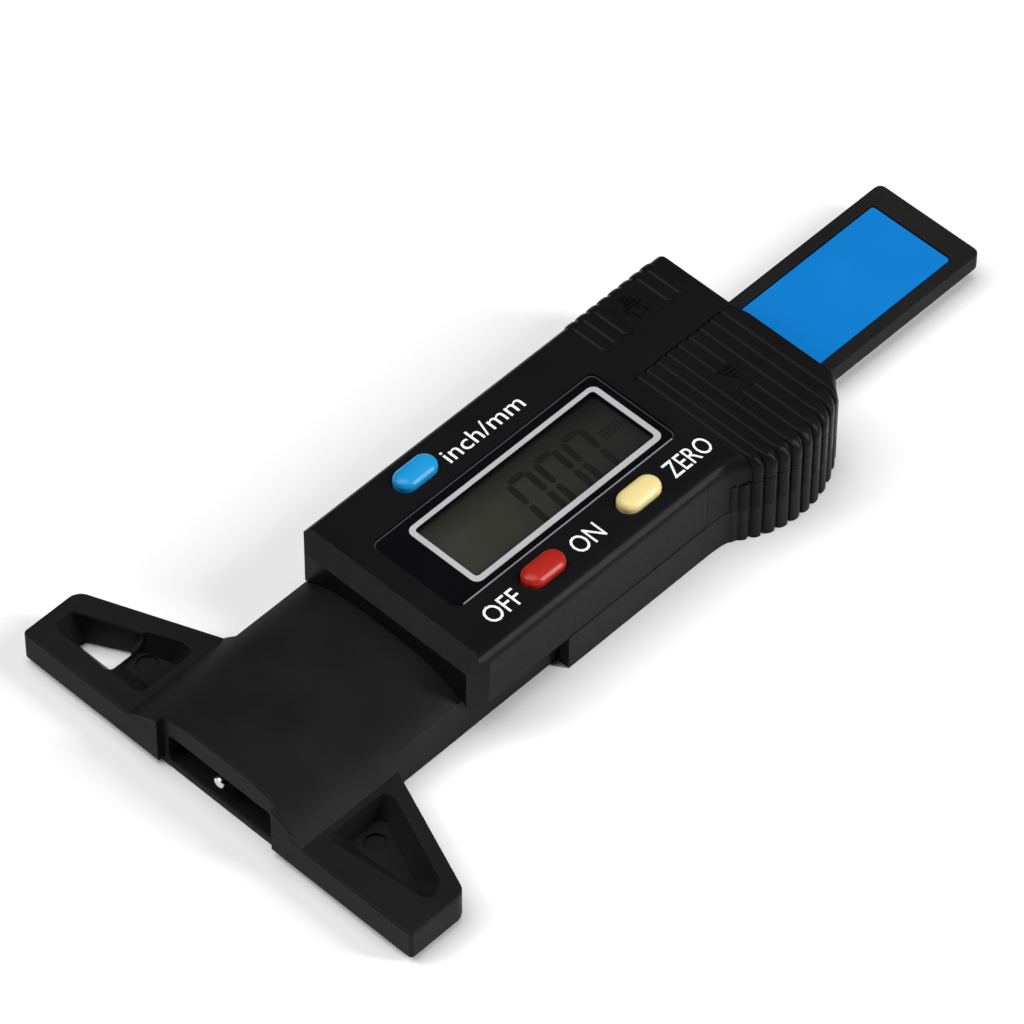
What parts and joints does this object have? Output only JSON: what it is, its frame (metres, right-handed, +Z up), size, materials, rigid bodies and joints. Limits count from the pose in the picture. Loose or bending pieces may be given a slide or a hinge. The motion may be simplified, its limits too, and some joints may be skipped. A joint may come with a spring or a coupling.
{
  "type": "digital tire tread depth gauge",
  "caption": "Hand-held digital tread depth gauge: a display head with a probe pin slides along a winged foot and a flat beam.",
  "frame": {"origin": "centre of the bounding box on the plane the gauge lies on", "axes": "+Y from the foot's front face towards the beam's free end, +Z up out of the display, +X to the right seen from the foot with the display up"},
  "size_m": [0.06, 0.1162, 0.0142],
  "materials": {
    "frame_plastic": "black, fine matte texture",
    "plate_plastic": "black, matte",
    "beam_plastic": "dark grey, matte",
    "shell_plastic": "black, satin",
    "cover_plastic": "black, matte",
    "label_film": "blue film, satin",
    "circuit_board": "green solder mask",
    "window_pane": "black border on clear plastic, glossy",
    "display_glass": "grey-green liquid crystal display",
    "connector_rubber": "layered silicone",
    "chip_epoxy": "black epoxy",
    "contact_metal": "plated spring contact",
    "cell_steel": "nickel-plated steel",
    "pin_steel": "ground steel",
    "spring_steel": "stainless strip",
    "screw_steel": "zinc-plated steel",
    "button_blue": "blue, satin",
    "button_red": "red, satin",
    "button_yellow": "pale yellow, satin"
  },
  "bodies": {
    "frame": {"foot_frame": "frame_plastic", "base_plate": "plate_plastic", "base_screw_1": "screw_steel", "base_screw_2": "screw_steel", "base_screw_3": "screw_steel", "base_screw_4": "screw_steel", "beam": "beam_plastic", "beam_screw_left": "screw_steel", "beam_screw_right": "screw_steel", "scale_board": "circuit_board", "scale_label": "label_film"},
    "head": {"head_shell": "shell_plastic", "back_cover": "cover_plastic", "probe_carrier": "spring_steel", "probe_pin": "pin_steel", "carrier_rivet_front": "screw_steel", "carrier_rivet_rear": "screw_steel", "gib_spring": "spring_steel", "cover_screw_front_left": "screw_steel", "cover_screw_rear_left": "screw_steel", "cover_screw_right": "screw_steel", "main_board": "circuit_board", "board_screw_1": "screw_steel", "board_screw_2": "screw_steel", "board_screw_3": "screw_steel", "board_screw_4": "screw_steel", "controller_chip": "chip_epoxy", "pickup_board": "circuit_board", "board_link": "chip_epoxy", "unit_switch_dome": "contact_metal", "power_switch_dome": "contact_metal", "zero_switch_dome": "contact_metal", "display_glass": "display_glass", "connector_strip_left": "connector_rubber", "connector_strip_right": "connector_rubber", "display_window": "window_pane", "button_cell": "cell_steel", "lower_contact": "contact_metal", "side_contact": "contact_metal"},
    "battery_cover": {"battery_cover": "shell_plastic"},
    "unit_button": {"unit_button": "button_blue"},
    "power_button": {"power_button": "button_red"},
    "zero_button": {"zero_button": "button_yellow"}
  },
  "joints": [
    {"name": "head_slide", "type": "slide", "parent": "frame", "child": "head", "axis": [0, -1, 0], "range_m": [0, 0.0254]},
    {"name": "battery_cover_slide", "type": "slide", "parent": "head", "child": "battery_cover", "axis": [1, 0, 0], "range_m": [0, 0.022]},
    {"name": "unit_button_press", "type": "slide", "parent": "head", "child": "unit_button", "axis": [0, 0, -1], "range_m": [0, 0.0004], "stiffness_N_per_m": 400, "springref_m": -0.0005},
    {"name": "power_button_press", "type": "slide", "parent": "head", "child": "power_button", "axis": [0, 0, -1], "range_m": [0, 0.0004], "stiffness_N_per_m": 400, "springref_m": -0.0005},
    {"name": "zero_button_press", "type": "slide", "parent": "head", "child": "zero_button", "axis": [0, 0, -1], "range_m": [0, 0.0004], "stiffness_N_per_m": 400, "springref_m": -0.0005}
  ]
}
